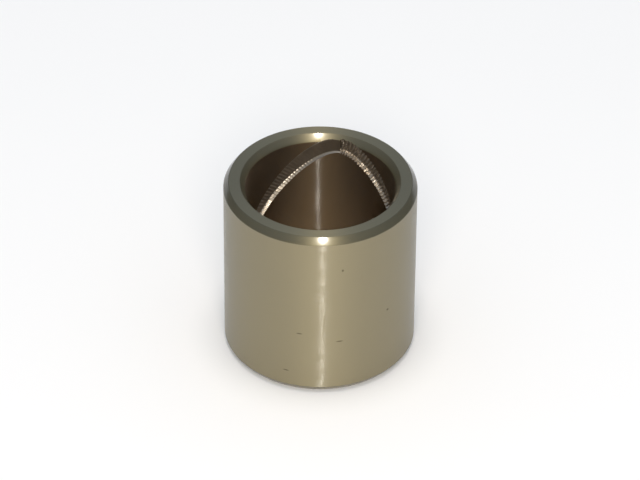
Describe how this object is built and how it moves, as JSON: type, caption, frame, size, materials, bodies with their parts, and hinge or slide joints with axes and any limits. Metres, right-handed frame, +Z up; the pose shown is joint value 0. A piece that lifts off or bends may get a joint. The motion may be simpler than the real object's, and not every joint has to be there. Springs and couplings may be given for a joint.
{
  "type": "sleeve bushing",
  "caption": "Plain bronze sleeve bushing with chamfered ends and a looped oil groove round its bore, pressed into a housing to carry a turning shaft.",
  "frame": {"origin": "centre of the lower end face, on the bore axis", "axes": "+Z up along the bore axis, +Y towards the upper turning point of the oil groove"},
  "size_m": [0.045, 0.045, 0.045],
  "materials": {
    "tin_bronze": "turned, dull satin"
  },
  "bodies": {
    "root": {"sleeve_bushing": "tin_bronze"}
  },
  "joints": []
}
